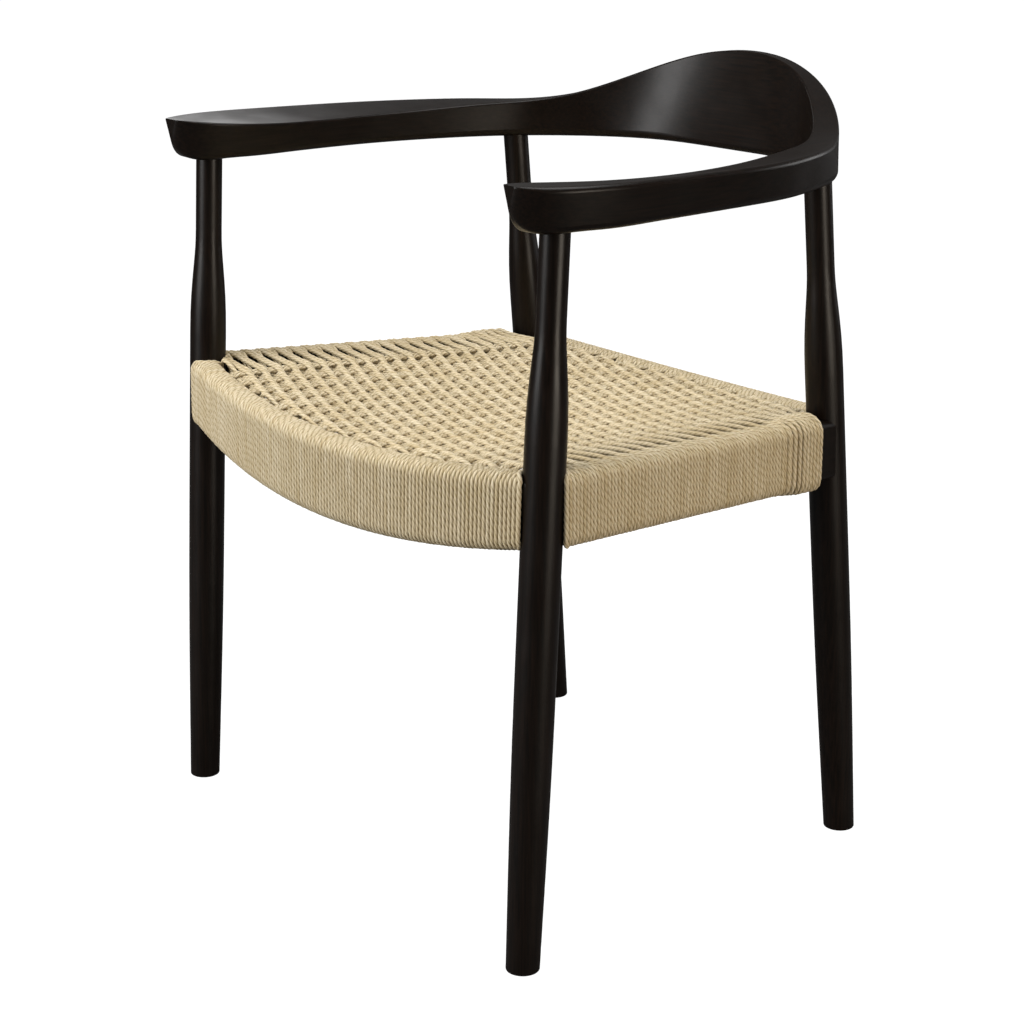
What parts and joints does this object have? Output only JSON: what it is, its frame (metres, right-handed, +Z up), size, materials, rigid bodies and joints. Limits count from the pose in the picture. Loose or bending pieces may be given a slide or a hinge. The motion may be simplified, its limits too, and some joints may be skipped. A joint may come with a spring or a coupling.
{
  "type": "round-back armchair with a woven cord seat",
  "caption": "Open armchair: a sculpted wooden rail forms both arms and the low curved back, on slim turned legs, round a seat of woven paper cord.",
  "frame": {"origin": "on the floor, in the middle of the chair's bounding box", "axes": "+Z up, the front of the chair faces -Y, +X is the right-hand side as seen from the front"},
  "size_m": [0.6326, 0.546, 0.754],
  "materials": {
    "dark_wood": "satin near-black stain, lacquered",
    "paper_cord": "matt twisted paper, natural colour",
    "nail_steel": "plain drawn wire"
  },
  "bodies": {
    "root": {"right_arm": "dark_wood", "left_arm": "dark_wood", "back_crest": "dark_wood", "front_left_leg": "dark_wood", "front_right_leg": "dark_wood", "back_left_leg": "dark_wood", "back_right_leg": "dark_wood", "front_seat_rail": "dark_wood", "back_seat_rail": "dark_wood", "left_seat_rail": "dark_wood", "right_seat_rail": "dark_wood", "front_rail_cord": "paper_cord", "back_rail_cord": "paper_cord", "left_rail_cord": "paper_cord", "right_rail_cord": "paper_cord", "woven_seat": "paper_cord", "front_rail_nails": "nail_steel", "back_rail_nails": "nail_steel", "left_rail_nails": "nail_steel", "right_rail_nails": "nail_steel"}
  },
  "joints": []
}
